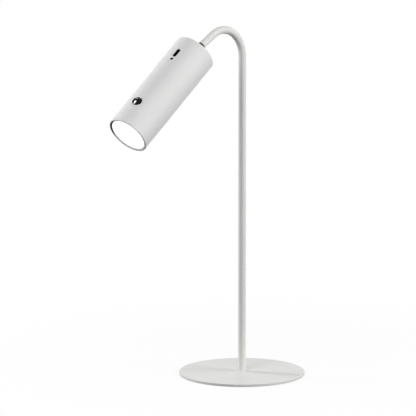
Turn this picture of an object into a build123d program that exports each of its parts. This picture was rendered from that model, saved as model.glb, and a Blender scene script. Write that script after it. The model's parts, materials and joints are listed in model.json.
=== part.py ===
from build123d import *
import math
import os

# Rechargeable desk lamp: a torch-like head on a cane-shaped stem that stands on a thin round base.
# Millimetres. Origin on the floor under the stem, +Z up. The hook of the stem lies in the XZ plane
# and reaches towards -X, so -X is the side that the lamp lights.

os.makedirs("parts", exist_ok=True)

# Base
base_radius = 65.0
plate_thickness = 2.7
plate_edge_round = 0.6
pad_thickness = 0.3
pad_inset = 3.0

# Stem: one bent steel tube
tube_radius = 4.0
tube_wall = 0.8
arc_start_height = 331.3
arc_radius = 30.0
end_slope = 29.3  # degrees below level at the free end of the tube
end_straight = 17.6

# Screw and threaded plug that hold the stem on the base
foot_screw_radius = 2.0
foot_screw_head_radius = 4.0
foot_screw_cone = 2.0
foot_screw_length = 14.0
foot_plug_length = 16.0
thread_clearance = 0.05

# Neck: a bush in the end of the tube, and a fork that turns in it
press_clearance = 0.05
running_clearance = 0.05
face_clearance = 0.1
bush_lip = 1.3
bush_lip_proud = 0.15
bush_depth = 9.0
shank_radius = 2.0
fork_radius = 3.8
pin_from_tube = 5.8
pin_to_head = 6.6
pin_radius = 1.2
pin_end_inset = 0.3
eye_radius = 3.3
tongue_thickness = 3.2
washer_thickness = 0.3
washer_radius = 3.0
tilt_limit = 60.0
swivel_screw_radius = 1.0
swivel_screw_head_radius = 2.0
swivel_screw_head = 1.2
swivel_screw_length = 6.0
swivel_washer_gap = 0.4
swivel_washer_thickness = 0.5

# How the head hangs in the reference pose
head_swivel = 11.25
head_tilt = 9.4

# Head: a round housing closed by a ring in front and by an inset cap behind
head_radius = 22.0
head_length = 120.0
shell_wall = 1.5
rear_edge_round = 0.9
front_edge_round = 0.85
slide_clearance = 0.1

# Front ring and light
ring_inset = 1.0
ring_flange = 0.8
ring_edge_round = 0.2
ring_depth = 8.0
ring_face = 2.85
ring_slope = 20.0  # degrees, of the ring's face in towards the window
window_recess = 0.95
diffuser_thickness = 2.0
shelf_width = 1.1
reflector_wall = 1.0
reflector_rear = 14.0
reflector_rim_gap = 0.3
led_board_gap = 3.4
led_board_thickness = 1.6
led_size = 2.8
led_pitch = 3.6
led_height = 0.7
board_screw_inset = 2.3
board_screw_radius = 1.0
board_screw_head_radius = 1.9
board_screw_head = 1.2
board_screw_length = 4.0
sink_plate = 3.6
sink_fin_height = 3.6
sink_fin_thickness = 1.4
sink_fin_pitch = 4.6
sink_fin_inset = 2.9

# Rear cap and the knuckle screwed to it
cap_web = 2.4
cap_recess = 0.6
cap_skirt = 6.0
cap_skirt_wall = 1.6
knuckle_flange_radius = 7.5
knuckle_flange = 2.0
knuckle_screw_spacing = 10.0
knuckle_screw_radius = 1.0
knuckle_screw_head_radius = 1.9
knuckle_screw_head = 1.2
cap_screw_radius = 1.25
cap_screw_head_radius = 2.2
cap_screw_head = 1.2
cap_screw_length = 8.0
cap_screw_turn = 50.7  # degrees to each side of the line away from the button
cap_post_radius = 2.8
cap_post_gap = 1.85

# Inner frame, cell and circuit board
frame_wall = 1.7
frame_end_wall = 2.4
board_depth = 10.4  # from the outside of the housing down to the underside of the board
board_thickness = 1.6
board_side_gap = 1.15
board_front_gap = 3.3
board_rear_gap = 3.0
ledge_width = 4.6
ledge_thickness = 3.0
board_fixing_inset = 3.6
board_fixing_edge = 1.9
fixing_radius = 0.9
fixing_head_radius = 1.6
fixing_head = 1.0
fixing_length = 3.6
cell_radius = 9.2
cell_length = 65.0
cell_height = -1.0
cell_front_gap = 7.2
cell_edge = 0.6
cell_nub_radius = 2.8
cell_nub = 0.8
cell_clearance = 0.1
saddle_thickness = 2.0
saddle_count = 3
saddle_top = 2.0
contact_thickness = 0.4
contact_width = 6.0
contact_foot = 5.0
lead_radius = 0.5
lead_spread = 9.0
lead_overlap = 2.0
coil_from_start = 24.0
coil_size = 6.0
coil_height = 3.0
capacitors_from_start = 36.0
capacitor_radius = 2.5
capacitor_height = 5.4
capacitor_gap = 2.0
chips_from_start = 48.0
chip_size = 4.0
chip_height = 0.9
chip_gap = 4.0

# Push button, in line with the indicator and the charging slot
button_station = 28.1
button_ring_radius = 5.15
button_ring_wall = 0.9
button_ring_proud = 0.3
button_travel = 0.4
button_dome = 0.65
button_dome_edge_proud = 0.1
button_flange = 0.8
button_flange_overlap = 0.45
button_stem_radius = 1.5
switch_size = 6.0
switch_height = 3.5
plunger_radius = 1.6
plunger_sunk = 1.7
plunger_room = 0.3

# Indicator and charging socket
indicator_from_socket = 8.55
indicator_radius = 1.5
indicator_flange_radius = 2.15
indicator_flange = 0.7
indicator_gap = 0.4
indicator_led_length = 1.6
indicator_led_width = 1.0
indicator_led_height = 0.7
socket_from_rear = 22.2
slot_length = 10.8
slot_width = 4.0
collar_sunk = 0.2
socket_length = 8.94
socket_width = 3.26
socket_sheet = 0.3
socket_floor = 2.0
socket_tongue_length = 6.7
socket_tongue_width = 0.7
socket_tongue_inset = 0.6
socket_mouth_gap = 0.2

# Places worked out from the sizes above
plate_bottom = pad_thickness
plate_top = plate_bottom + plate_thickness
bore_radius = tube_radius - tube_wall
shell_bore = head_radius - shell_wall
fitted_radius = shell_bore - slide_clearance
ring_radius = head_radius - ring_inset
window_radius = head_radius - ring_face
ring_drop = (ring_radius - window_radius) * math.tan(math.radians(ring_slope))
socket_station = head_length - socket_from_rear
indicator_station = socket_station - indicator_from_socket
slope = math.radians(end_slope)
outward = Vector(-math.cos(slope), 0, -math.sin(slope))
tube_end = Vector(
    -arc_radius * (1 + math.sin(slope)) - end_straight * math.cos(slope),
    0,
    arc_start_height + arc_radius * math.cos(slope) - end_straight * math.sin(slope),
)
pin_centre = tube_end + outward * pin_from_tube

# The fork is turned about the tube's end, and then the head is tilted about the pin
fork_top = Vector(-math.sin(slope), 0, math.cos(slope)).rotate(Axis((0, 0, 0), outward), -head_swivel)
pin_way = fork_top.cross(outward)
head_way = outward.rotate(Axis((0, 0, 0), pin_way), head_tilt)
button_way = fork_top.rotate(Axis((0, 0, 0), pin_way), head_tilt)
rearward = head_way * -1
front_centre = pin_centre + head_way * (pin_to_head + head_length)

tube_axis = Axis(tube_end, outward)
head_axis = Axis(front_centre, rearward)
neck_section = Plane(origin=tube_end, x_dir=outward, z_dir=outward.cross(fork_top))
head_section = Plane(origin=front_centre, x_dir=rearward, z_dir=rearward.cross(button_way))


# Plane square to the tube's end, at a distance beyond it
def across_neck(distance):
    return Plane(origin=tube_end + outward * distance, x_dir=fork_top, z_dir=outward)


# Plane square to the head's axis, at a distance behind its front; local X points to the button
def across_head(station):
    return Plane(origin=front_centre + rearward * station, x_dir=button_way, z_dir=rearward)


# Plane square to the button's way, at a station on the head and a height over its axis
def under_button(station, height):
    origin = front_centre + rearward * station + button_way * height
    return Plane(origin=origin, x_dir=rearward, z_dir=button_way)


# Base: steel plate with a countersunk hole, on a thin pad
pad_radius = base_radius - pad_inset
with BuildPart() as base_pad:
    with BuildSketch(Plane.XY):
        Circle(pad_radius)
    extrude(amount=pad_thickness)
base_pad.part.label = "base_pad"
export_step(base_pad.part, "parts/base_pad.step")

foot_hole_radius = foot_screw_radius + face_clearance
with BuildPart() as base_plate:
    with BuildSketch(Plane.XY.offset(plate_bottom)):
        Circle(base_radius)
    extrude(amount=plate_thickness)
    rim = base_plate.edges().filter_by(GeomType.CIRCLE).group_by(Axis.Z)[-1]
    fillet(rim, radius=plate_edge_round)
    with BuildSketch(Plane.XZ):
        Polygon(
            (0, plate_bottom),
            (foot_screw_head_radius + face_clearance, plate_bottom),
            (foot_hole_radius, plate_bottom + foot_screw_cone),
            (foot_hole_radius, plate_top),
            (0, plate_top),
            align=None,
        )
    revolve(axis=Axis.Z, mode=Mode.SUBTRACT)
base_plate.part.label = "base_plate"
export_step(base_plate.part, "parts/base_plate.step")

with BuildPart() as foot_screw:
    with BuildSketch(Plane.XZ):
        Polygon(
            (0, plate_bottom),
            (foot_screw_head_radius, plate_bottom),
            (foot_screw_radius, plate_bottom + foot_screw_cone),
            (foot_screw_radius, plate_bottom + foot_screw_length),
            (0, plate_bottom + foot_screw_length),
            align=None,
        )
    revolve(axis=Axis.Z)
foot_screw.part.label = "foot_screw"
export_step(foot_screw.part, "parts/foot_screw.step")

with BuildPart() as foot_plug:
    with BuildSketch(Plane.XY.offset(plate_top)):
        Circle(bore_radius - press_clearance)
        Circle(foot_screw_radius + thread_clearance, mode=Mode.SUBTRACT)
    extrude(amount=foot_plug_length)
foot_plug.part.label = "foot_plug"
export_step(foot_plug.part, "parts/foot_plug.step")

# Stem: straight up, over in one arc and down again to the head
with BuildPart() as stem_tube:
    with BuildLine(Plane.XZ) as stem_path:
        upright = Line((0, plate_top), (0, arc_start_height))
        crook = JernArc(upright @ 1, upright % 1, arc_radius, 90 + end_slope)
        Line(crook @ 1, crook @ 1 + (crook % 1) * end_straight)
    with BuildSketch(Plane.XY.offset(plate_top)):
        Circle(tube_radius)
        Circle(bore_radius, mode=Mode.SUBTRACT)
    sweep(path=stem_path.wire())
stem_tube.part.label = "stem_tube"
export_step(stem_tube.part, "parts/stem_tube.step")

# Bush in the tube's end, with a lip that covers the cut edge
with BuildPart() as end_bush:
    with BuildSketch(neck_section):
        Polygon(
            (-bush_depth, shank_radius + running_clearance),
            (-bush_depth, bore_radius - press_clearance),
            (0, bore_radius - press_clearance),
            (0, tube_radius + bush_lip_proud),
            (bush_lip, tube_radius + bush_lip_proud),
            (bush_lip, shank_radius + running_clearance),
            align=None,
        )
    revolve(axis=tube_axis)
end_bush.part.label = "end_bush"
export_step(end_bush.part, "parts/end_bush.step")

# Fork: a shank that turns in the bush, and two cheeks with a slot whose sloping floor stops the tilt
shank_end = bush_depth + face_clearance
fork_start = bush_lip + face_clearance
fork_slot = tongue_thickness + 2 * (washer_thickness + face_clearance)
stop_radius = eye_radius + face_clearance
cheek_round = fork_radius
stop_turn = math.radians(tilt_limit)
stop_point = Vector(-math.sin(stop_turn), math.cos(stop_turn)) * stop_radius
stop_far = stop_point + Vector(math.cos(stop_turn), math.sin(stop_turn)) * fork_radius
with BuildPart() as neck_fork:
    with BuildSketch(neck_section):
        Polygon(
            (-shank_end, 0),
            (-shank_end, shank_radius),
            (fork_start, shank_radius),
            (fork_start, fork_radius),
            (pin_from_tube + cheek_round, fork_radius),
            (pin_from_tube + cheek_round, 0),
            align=None,
        )
    revolve(axis=tube_axis)
    with BuildSketch(Plane(origin=pin_centre, x_dir=outward, z_dir=pin_way * -1)):
        Rectangle(4 * fork_radius, 4 * fork_radius, align=(Align.MIN, Align.CENTER))
        Circle(cheek_round, mode=Mode.SUBTRACT)
    extrude(amount=fork_radius * 2, both=True, mode=Mode.SUBTRACT)
    with BuildSketch(Plane(origin=pin_centre, x_dir=outward, z_dir=pin_way * -1)):
        Circle(stop_radius)
        Polygon(
            (stop_point.X, stop_point.Y),
            (stop_far.X, stop_far.Y),
            (2 * fork_radius, stop_far.Y),
            (2 * fork_radius, -stop_far.Y),
            (stop_far.X, -stop_far.Y),
            (stop_point.X, -stop_point.Y),
            align=None,
        )
    extrude(amount=fork_slot / 2, both=True, mode=Mode.SUBTRACT)
    with BuildSketch(Plane(origin=pin_centre, x_dir=outward, z_dir=pin_way)):
        Circle(pin_radius)
    extrude(amount=2 * fork_radius, both=True, mode=Mode.SUBTRACT)
    with BuildSketch(across_neck(-shank_end)):
        Circle(swivel_screw_radius + thread_clearance)
    extrude(amount=swivel_screw_length, mode=Mode.SUBTRACT)
neck_fork.part.label = "neck_fork"
export_step(neck_fork.part, "parts/neck_fork.step")

# Washer and screw that keep the shank in the bush
with BuildPart() as swivel_washer:
    with BuildSketch(across_neck(-shank_end)):
        Circle(bore_radius - swivel_washer_gap)
        Circle(swivel_screw_radius + face_clearance, mode=Mode.SUBTRACT)
    extrude(amount=-swivel_washer_thickness)
swivel_washer.part.label = "swivel_washer"
export_step(swivel_washer.part, "parts/swivel_washer.step")

screw_seat = -shank_end - swivel_washer_thickness
with BuildPart() as swivel_screw:
    with BuildSketch(across_neck(screw_seat)):
        Circle(swivel_screw_head_radius)
    extrude(amount=-swivel_screw_head)
    with BuildSketch(across_neck(screw_seat)):
        Circle(swivel_screw_radius)
    extrude(amount=swivel_screw_length)
swivel_screw.part.label = "swivel_screw"
export_step(swivel_screw.part, "parts/swivel_screw.step")

# Tilt pin across the fork, and a friction washer on each side of the tongue
with BuildPart() as tilt_pin:
    with BuildSketch(Plane(origin=pin_centre, x_dir=outward, z_dir=pin_way)):
        Circle(pin_radius - running_clearance / 5)
    extrude(amount=fork_radius - pin_end_inset, both=True)
tilt_pin.part.label = "tilt_pin"
export_step(tilt_pin.part, "parts/tilt_pin.step")

washer_inner_face = tongue_thickness / 2 + face_clearance / 2
with BuildPart() as friction_washers:
    for way in (pin_way, pin_way * -1):
        with BuildSketch(Plane(origin=pin_centre + way * washer_inner_face, x_dir=outward, z_dir=way)):
            Circle(washer_radius)
            Circle(pin_radius + running_clearance, mode=Mode.SUBTRACT)
        extrude(amount=washer_thickness)
friction_washers.part.label = "friction_washers"
export_step(friction_washers.part, "parts/friction_washers.step")

# Knuckle: the tongue between the cheeks, on a round flange that lies on the rear cap
cap_face = head_length - cap_recess
pin_station = head_length + pin_to_head
knuckle_screw_hole = knuckle_screw_radius + thread_clearance
with BuildPart() as head_knuckle:
    with BuildSketch(across_head(cap_face)):
        Circle(knuckle_flange_radius)
    extrude(amount=knuckle_flange)
    with BuildSketch(Plane(origin=pin_centre, x_dir=rearward, z_dir=pin_way)):
        Circle(eye_radius)
        with Locations((-(pin_station - cap_face) / 2, 0)):
            Rectangle(pin_station - cap_face, 2 * eye_radius)
    extrude(amount=tongue_thickness / 2, both=True)
    with BuildSketch(Plane(origin=pin_centre, x_dir=rearward, z_dir=pin_way)):
        Circle(pin_radius + running_clearance)
    extrude(amount=tongue_thickness, both=True, mode=Mode.SUBTRACT)
    with BuildSketch(across_head(cap_face)):
        with Locations((0, knuckle_screw_spacing / 2), (0, -knuckle_screw_spacing / 2)):
            Circle(knuckle_screw_hole)
    extrude(amount=knuckle_flange, mode=Mode.SUBTRACT)
head_knuckle.part.label = "head_knuckle"
export_step(head_knuckle.part, "parts/head_knuckle.step")

# Rear cap: a web with a skirt, set a little way into the housing
cap_inner_face = cap_face - cap_web
cap_radius = shell_bore - press_clearance
skirt_bore = cap_radius - cap_skirt_wall
skirt_start = cap_inner_face - cap_skirt
head_seat = cap_face - cap_screw_head
cap_screw_circle = skirt_bore - cap_post_gap - cap_post_radius
cap_screw_back = -cap_screw_circle * math.cos(math.radians(cap_screw_turn))
cap_screw_side = cap_screw_circle * math.sin(math.radians(cap_screw_turn))
cap_screw_points = ((cap_screw_back, cap_screw_side), (cap_screw_back, -cap_screw_side))
with BuildPart() as rear_cap:
    with BuildSketch(head_section):
        Polygon(
            (cap_face, 0),
            (cap_face, cap_radius),
            (skirt_start, cap_radius),
            (skirt_start, skirt_bore),
            (cap_inner_face, skirt_bore),
            (cap_inner_face, 0),
            align=None,
        )
    revolve(axis=head_axis)
    with BuildSketch(across_head(cap_inner_face)):
        with Locations((0, knuckle_screw_spacing / 2), (0, -knuckle_screw_spacing / 2)):
            Circle(knuckle_screw_radius + face_clearance)
        with Locations(cap_screw_points):
            Circle(cap_screw_radius + face_clearance)
    extrude(amount=cap_web, mode=Mode.SUBTRACT)
    with BuildSketch(across_head(head_seat)):
        with Locations(cap_screw_points):
            Circle(cap_screw_head_radius + face_clearance)
    extrude(amount=cap_screw_head, mode=Mode.SUBTRACT)
rear_cap.part.label = "rear_cap"
export_step(rear_cap.part, "parts/rear_cap.step")

with BuildPart() as knuckle_screws:
    with BuildSketch(across_head(cap_inner_face - knuckle_screw_head)):
        with Locations((0, knuckle_screw_spacing / 2), (0, -knuckle_screw_spacing / 2)):
            Circle(knuckle_screw_head_radius)
    extrude(amount=knuckle_screw_head)
    with BuildSketch(across_head(cap_inner_face)):
        with Locations((0, knuckle_screw_spacing / 2), (0, -knuckle_screw_spacing / 2)):
            Circle(knuckle_screw_radius)
    extrude(amount=cap_web + knuckle_flange - face_clearance)
knuckle_screws.part.label = "knuckle_screws"
export_step(knuckle_screws.part, "parts/knuckle_screws.step")

with BuildPart() as cap_screws:
    with BuildSketch(across_head(head_seat)):
        with Locations(cap_screw_points):
            Circle(cap_screw_head_radius)
    extrude(amount=cap_screw_head)
    with BuildSketch(across_head(head_seat)):
        with Locations(cap_screw_points):
            Circle(cap_screw_radius)
    extrude(amount=-cap_screw_length)
cap_screws.part.label = "cap_screws"
export_step(cap_screws.part, "parts/cap_screws.step")

# Housing of the head, with a seat for the front ring, a round hole for the button, a small one for the
# indicator and a slot
with BuildPart() as head_shell:
    with BuildSketch(across_head(0)):
        Circle(head_radius)
        Circle(shell_bore, mode=Mode.SUBTRACT)
    extrude(amount=head_length)
    rims = head_shell.edges().filter_by(GeomType.CIRCLE).sort_by(head_axis)
    fillet(rims[-2:].sort_by(SortBy.RADIUS)[-1], radius=min(rear_edge_round, 0.9 * shell_wall))
    fillet(rims[:2].sort_by(SortBy.RADIUS)[-1], radius=min(front_edge_round, 0.9 * ring_inset))
    with BuildSketch(across_head(0)):
        Circle(ring_radius + press_clearance)
    extrude(amount=ring_flange, mode=Mode.SUBTRACT)
    with BuildSketch(under_button(button_station, 0)):
        Circle(button_ring_radius + press_clearance)
    extrude(amount=2 * head_radius, mode=Mode.SUBTRACT)
    with BuildSketch(under_button(indicator_station, 0)):
        Circle(indicator_radius + press_clearance)
    extrude(amount=2 * head_radius, mode=Mode.SUBTRACT)
    with BuildSketch(under_button(socket_station, 0)):
        SlotOverall(slot_length, slot_width)
    extrude(amount=2 * head_radius, mode=Mode.SUBTRACT)
head_shell.part.label = "head_shell"
export_step(head_shell.part, "parts/head_shell.step")

# Front ring: a flange in the housing's seat with a face that slopes in to the window, and a spigot with
# the shelf that the diffuser lies on
shelf_station = window_recess + diffuser_thickness
shelf_bore = window_radius - shelf_width
with BuildPart() as front_ring:
    with BuildSketch(head_section):
        Polygon(
            (ring_drop, window_radius),
            (0, ring_radius),
            (ring_flange, ring_radius),
            (ring_flange, fitted_radius),
            (ring_depth, fitted_radius),
            (ring_depth, shelf_bore),
            (shelf_station, shelf_bore),
            (shelf_station, window_radius),
            align=None,
        )
    revolve(axis=head_axis)
    lip = front_ring.edges().filter_by(GeomType.CIRCLE).sort_by(head_axis)[:2]
    fillet(lip, radius=ring_edge_round)
front_ring.part.label = "front_ring"
export_step(front_ring.part, "parts/front_ring.step")

with BuildPart() as diffuser:
    with BuildSketch(across_head(window_recess)):
        Circle(window_radius - press_clearance)
    extrude(amount=diffuser_thickness)
diffuser.part.label = "diffuser"
export_step(diffuser.part, "parts/diffuser.step")

# Reflector: a white cone between the diffuser and the board that carries the light sources
reflector_front = shelf_station + face_clearance
cone_outer = shelf_bore - slide_clearance
led_board_radius = fitted_radius - led_board_gap
board_screw_circle = led_board_radius - board_screw_inset
reflector_mouth = board_screw_circle - board_screw_head_radius - reflector_rim_gap - 2 * reflector_wall
with BuildPart() as reflector:
    with BuildSketch(head_section):
        Polygon(
            (reflector_front, cone_outer),
            (reflector_front, cone_outer - reflector_wall),
            (reflector_rear, reflector_mouth),
            (reflector_rear, reflector_mouth + reflector_wall),
            (reflector_rear - reflector_wall, reflector_mouth + 2 * reflector_wall),
            align=None,
        )
    revolve(axis=head_axis)
reflector.part.label = "reflector"
export_step(reflector.part, "parts/reflector.step")

led_back = reflector_rear + led_board_thickness
board_height = head_radius - board_depth
board_top = board_height + board_thickness
lead_height = board_top + lead_radius + press_clearance
with BuildPart() as led_board:
    with BuildSketch(across_head(reflector_rear)):
        Circle(led_board_radius)
        with Locations((0, board_screw_circle), (0, -board_screw_circle)):
            Circle(board_screw_radius + face_clearance, mode=Mode.SUBTRACT)
    extrude(amount=led_board_thickness)
led_board.part.label = "led_board"
export_step(led_board.part, "parts/led_board.step")

# As many rows of light sources as the square inside the reflector's mouth takes
led_rows = 1 + int((math.sqrt(2) * reflector_mouth - led_size) / led_pitch)
with BuildPart() as led_chips:
    with BuildSketch(across_head(reflector_rear)):
        with GridLocations(led_pitch, led_pitch, led_rows, led_rows):
            Rectangle(led_size, led_size)
    extrude(amount=-led_height)
led_chips.part.label = "led_chips"
export_step(led_chips.part, "parts/led_chips.step")

with BuildPart() as led_board_screws:
    with BuildSketch(across_head(reflector_rear)):
        with Locations((0, board_screw_circle), (0, -board_screw_circle)):
            Circle(board_screw_head_radius)
    extrude(amount=-board_screw_head)
    with BuildSketch(across_head(reflector_rear)):
        with Locations((0, board_screw_circle), (0, -board_screw_circle)):
            Circle(board_screw_radius)
    extrude(amount=board_screw_length)
led_board_screws.part.label = "led_board_screws"
export_step(led_board_screws.part, "parts/led_board_screws.step")

# Heat sink: a round plate behind the board with straight fins that stop short of the circuit board
sink_back = led_back + sink_plate
sink_fin_circle = fitted_radius - sink_fin_inset
sink_fin_count = int((2 * sink_fin_circle - sink_fin_thickness) / sink_fin_pitch)
fin_top = board_height - ledge_thickness
with BuildPart() as heat_sink:
    with BuildSketch(across_head(led_back)):
        Circle(fitted_radius)
        with Locations((0, board_screw_circle), (0, -board_screw_circle)):
            Circle(board_screw_radius + thread_clearance, mode=Mode.SUBTRACT)
        with Locations((lead_height, lead_spread / 2), (lead_height, -lead_spread / 2)):
            Circle(lead_radius + slide_clearance, mode=Mode.SUBTRACT)
    extrude(amount=sink_plate)
    with BuildSketch(across_head(sink_back)):
        with GridLocations(sink_fin_pitch, sink_fin_pitch, 1, sink_fin_count):
            Rectangle(2 * sink_fin_circle, sink_fin_thickness)
        Circle(sink_fin_circle, mode=Mode.INTERSECT)
        with Locations((fin_top, 0)):
            Rectangle(head_radius, 2 * head_radius, align=(Align.MIN, Align.CENTER), mode=Mode.SUBTRACT)
    extrude(amount=sink_fin_height)
heat_sink.part.label = "heat_sink"
export_step(heat_sink.part, "parts/heat_sink.step")

# Inner frame: a trough that fills the lower part of the housing, with ledges for the circuit board,
# saddles for the cell, a wall at each end of it, and two posts that reach the rear cap
frame_start = sink_back + sink_fin_height + face_clearance
frame_radius = fitted_radius
frame_bore = frame_radius - frame_wall
frame_end = skirt_start - face_clearance
ledge_top = board_height
ledge_bottom = board_height - ledge_thickness
cell_start = sink_back + sink_fin_height + cell_front_gap
cell_end = cell_start + cell_length
board_start = sink_back + board_front_gap
board_end = skirt_start - board_rear_gap
board_length = board_end - board_start
board_width = 2 * (math.sqrt(fitted_radius**2 - board_top**2) - board_side_gap)
fixing_stations = (board_start + board_fixing_inset, board_end - board_fixing_inset)
fixing_spread = board_width - 2 * board_fixing_edge
with BuildPart() as inner_frame:
    with BuildSketch(across_head(frame_start)):
        Circle(frame_radius)
        Circle(frame_bore, mode=Mode.SUBTRACT)
        with Locations((ledge_top, 0)):
            Rectangle(head_radius, 2 * head_radius, align=(Align.MIN, Align.CENTER), mode=Mode.SUBTRACT)
    extrude(amount=frame_end - frame_start)
    with BuildSketch(across_head(frame_start)):
        with Locations((ledge_bottom, 0)):
            Rectangle(ledge_thickness, 2 * head_radius, align=(Align.MIN, Align.CENTER))
            Rectangle(
                ledge_thickness,
                board_width - 2 * ledge_width,
                align=(Align.MIN, Align.CENTER),
                mode=Mode.SUBTRACT,
            )
        Circle(frame_radius, mode=Mode.INTERSECT)
    extrude(amount=frame_end - frame_start)
    for index in range(saddle_count):
        share = (index + 0.5) / saddle_count
        with BuildSketch(across_head(cell_start + share * cell_length - saddle_thickness / 2)):
            Circle(frame_bore + frame_wall / 2)
            with Locations((saddle_top, 0)):
                Rectangle(head_radius, 2 * head_radius, align=(Align.MIN, Align.CENTER), mode=Mode.SUBTRACT)
            with Locations((cell_height, 0)):
                Circle(cell_radius + cell_clearance, mode=Mode.SUBTRACT)
                Rectangle(
                    head_radius,
                    2 * (cell_radius + cell_clearance),
                    align=(Align.MIN, Align.CENTER),
                    mode=Mode.SUBTRACT,
                )
        extrude(amount=saddle_thickness)
    front_stop = cell_start - cell_nub - contact_thickness - frame_end_wall - face_clearance
    rear_stop = cell_end + contact_thickness + face_clearance
    for station in (front_stop, rear_stop):
        with BuildSketch(across_head(station)):
            Circle(frame_bore + frame_wall / 2)
            with Locations((ledge_bottom, 0)):
                Rectangle(head_radius, 2 * head_radius, align=(Align.MIN, Align.CENTER), mode=Mode.SUBTRACT)
        extrude(amount=frame_end_wall)
    with BuildSketch(across_head(rear_stop)):
        with Locations(cap_screw_points):
            Circle(cap_post_radius)
    extrude(amount=cap_inner_face - rear_stop)
    with BuildSketch(across_head(cap_inner_face)):
        with Locations(cap_screw_points):
            Circle(cap_screw_radius + thread_clearance)
    extrude(amount=-cap_screw_length, mode=Mode.SUBTRACT)
    for station in fixing_stations:
        with BuildSketch(under_button(station, board_height)):
            with Locations((0, fixing_spread / 2), (0, -fixing_spread / 2)):
                Circle(fixing_radius + thread_clearance)
        extrude(amount=-(fixing_length - board_thickness), mode=Mode.SUBTRACT)
inner_frame.part.label = "inner_frame"
export_step(inner_frame.part, "parts/inner_frame.step")

# Cell, lying along the axis, and the two strips that bring its ends to the circuit board
with BuildPart() as battery_cell:
    with BuildSketch(across_head(cell_start)):
        with Locations((cell_height, 0)):
            Circle(cell_radius)
    extrude(amount=cell_length)
    chamfer(battery_cell.edges().filter_by(GeomType.CIRCLE), length=cell_edge)
    with BuildSketch(across_head(cell_start)):
        with Locations((cell_height, 0)):
            Circle(cell_nub_radius)
    extrude(amount=-cell_nub)
battery_cell.part.label = "battery_cell"
export_step(battery_cell.part, "parts/battery_cell.step")

strip_bottom = cell_height - contact_foot
strip_height = board_height - strip_bottom
with BuildPart() as battery_contacts:
    for station in (cell_start - cell_nub - contact_thickness, cell_end):
        with BuildSketch(across_head(station)):
            with Locations((strip_bottom, 0)):
                Rectangle(strip_height, contact_width, align=(Align.MIN, Align.CENTER))
        extrude(amount=contact_thickness)
battery_contacts.part.label = "battery_contacts"
export_step(battery_contacts.part, "parts/battery_contacts.step")

# Circuit board with the parts soldered on it
board_middle = (board_start + board_end) / 2
with BuildPart() as control_board:
    with BuildSketch(under_button(board_middle, board_height)):
        Rectangle(board_length, board_width)
        with GridLocations(board_length - 2 * board_fixing_inset, fixing_spread, 2, 2):
            Circle(fixing_radius + face_clearance, mode=Mode.SUBTRACT)
    extrude(amount=board_thickness)
control_board.part.label = "control_board"
export_step(control_board.part, "parts/control_board.step")

with BuildPart() as board_fixings:
    with BuildSketch(under_button(board_middle, board_top)):
        with GridLocations(board_length - 2 * board_fixing_inset, fixing_spread, 2, 2):
            Circle(fixing_head_radius)
    extrude(amount=fixing_head)
    with BuildSketch(under_button(board_middle, board_top)):
        with GridLocations(board_length - 2 * board_fixing_inset, fixing_spread, 2, 2):
            Circle(fixing_radius)
    extrude(amount=-fixing_length)
board_fixings.part.label = "board_fixings"
export_step(board_fixings.part, "parts/board_fixings.step")

with BuildPart() as board_parts:
    with BuildSketch(under_button(board_start + coil_from_start, board_top)):
        RectangleRounded(coil_size, coil_size, coil_size / 5)
    extrude(amount=coil_height)
    with BuildSketch(under_button(board_start + capacitors_from_start, board_top)):
        with GridLocations(capacitor_gap, 2 * capacitor_radius + capacitor_gap, 1, 2):
            Circle(capacitor_radius)
    extrude(amount=capacitor_height)
    with BuildSketch(under_button(board_start + chips_from_start, board_top)):
        with GridLocations(chip_gap, chip_size + chip_gap, 1, 2):
            Rectangle(chip_size, chip_size)
    extrude(amount=chip_height)
    with BuildSketch(under_button(indicator_station, board_top)):
        Rectangle(indicator_led_length, indicator_led_width)
    extrude(amount=indicator_led_height)
board_parts.part.label = "board_parts"
export_step(board_parts.part, "parts/board_parts.step")

# Two leads from the light's board through the heat sink onto the circuit board
lead_end = board_start + lead_overlap
with BuildPart() as led_leads:
    with BuildSketch(across_head(led_back)):
        with Locations((lead_height, lead_spread / 2), (lead_height, -lead_spread / 2)):
            Circle(lead_radius)
    extrude(amount=lead_end - led_back)
led_leads.part.label = "led_leads"
export_step(led_leads.part, "parts/led_leads.step")

# Push button: ring in the housing, domed cap with a flange below the ring, plunger and switch
ring_bore = button_ring_radius - button_ring_wall
ring_top = head_radius + button_ring_proud
ring_bottom = math.sqrt(shell_bore**2 - button_ring_radius**2)
button_axis = Axis(front_centre + rearward * button_station, button_way)
button_section = Plane(
    origin=front_centre + rearward * button_station, x_dir=rearward, z_dir=rearward.cross(button_way)
)
with BuildPart() as button_ring:
    with BuildSketch(under_button(button_station, ring_bottom)):
        Circle(button_ring_radius)
        Circle(ring_bore, mode=Mode.SUBTRACT)
    extrude(amount=ring_top - ring_bottom)
    ring_edges = button_ring.edges().filter_by(GeomType.CIRCLE).group_by(button_axis)[-1]
    fillet(ring_edges, radius=button_ring_wall / 3)
button_ring.part.label = "button_ring"
export_step(button_ring.part, "parts/button_ring.step")

button_radius = ring_bore - slide_clearance
flange_radius = button_radius + button_flange_overlap
flange_top = ring_bottom - face_clearance
flange_bottom = flange_top - button_flange
dome_edge = ring_top + button_dome_edge_proud
dome_radius = (button_radius**2 + button_dome**2) / (2 * button_dome)
dome_top = dome_edge + button_dome
dome_middle = dome_top - dome_radius + math.sqrt(dome_radius**2 - (button_radius / 2) ** 2)
switch_top = board_top + switch_height
plunger_top = switch_top + button_travel + face_clearance
with BuildPart() as button_cap:
    with BuildSketch(button_section):
        with BuildLine():
            Polyline(
                (0, dome_top),
                (0, plunger_top),
                (button_stem_radius, plunger_top),
                (button_stem_radius, flange_bottom),
                (flange_radius, flange_bottom),
                (flange_radius, flange_top),
                (button_radius, flange_top),
                (button_radius, dome_edge),
            )
            ThreePointArc((button_radius, dome_edge), (button_radius / 2, dome_middle), (0, dome_top))
        make_face()
    revolve(axis=button_axis)
button_cap.part.label = "button_cap"
export_step(button_cap.part, "parts/button_cap.step")

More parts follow.
